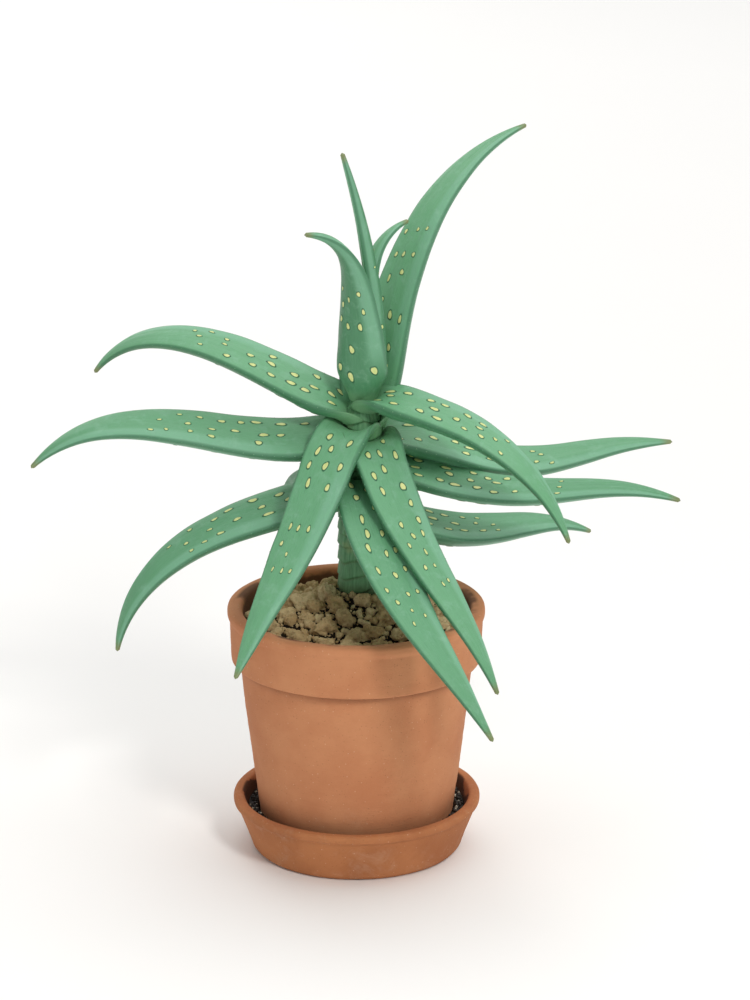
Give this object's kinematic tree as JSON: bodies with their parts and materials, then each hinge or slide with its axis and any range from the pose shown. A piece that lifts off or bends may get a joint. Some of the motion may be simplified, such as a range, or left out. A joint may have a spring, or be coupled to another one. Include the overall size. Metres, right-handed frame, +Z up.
{
  "type": "potted aloe plant",
  "caption": "Young spotted aloe with a short bare stem and long arching leaves, growing from a soil mound in a round rimmed clay pot that stands in a matching saucer.",
  "frame": {"origin": "on the pot's axis, at the middle of the saucer's flat underside", "axes": "+Z up along the pot's axis, +X to the plant's right and +Y to its rear when its fullest side faces the viewer"},
  "size_m": [0.3526, 0.2638, 0.3935],
  "materials": {
    "pot_clay": "unglazed terracotta, matt and slightly chalky",
    "saucer_clay": "unglazed terracotta, darker from damp, matt",
    "soil": "crumbly dry potting soil",
    "root": "pale fleshy root",
    "stem": "green stem with dry leaf scars",
    "leaf": "fleshy green leaf with a thin wax bloom and pale raised spots"
  },
  "bodies": {
    "root": {"saucer": "saucer_clay", "pot": "pot_clay", "soil": "soil", "roots": "root", "stem": "stem", "leaf_centre_tall": "leaf", "leaf_centre_small": "leaf", "leaf_top_left": "leaf", "leaf_top_right": "leaf", "leaf_rear_high": "leaf", "leaf_right_front": "leaf", "leaf_left_high": "leaf", "leaf_front_left": "leaf", "leaf_front_right_high": "leaf", "leaf_right_high": "leaf", "leaf_left_middle": "leaf", "leaf_rear": "leaf", "leaf_right_middle": "leaf", "leaf_front_low": "leaf", "leaf_rear_low": "leaf", "leaf_left_low": "leaf", "leaf_right_low": "leaf"}
  },
  "joints": []
}
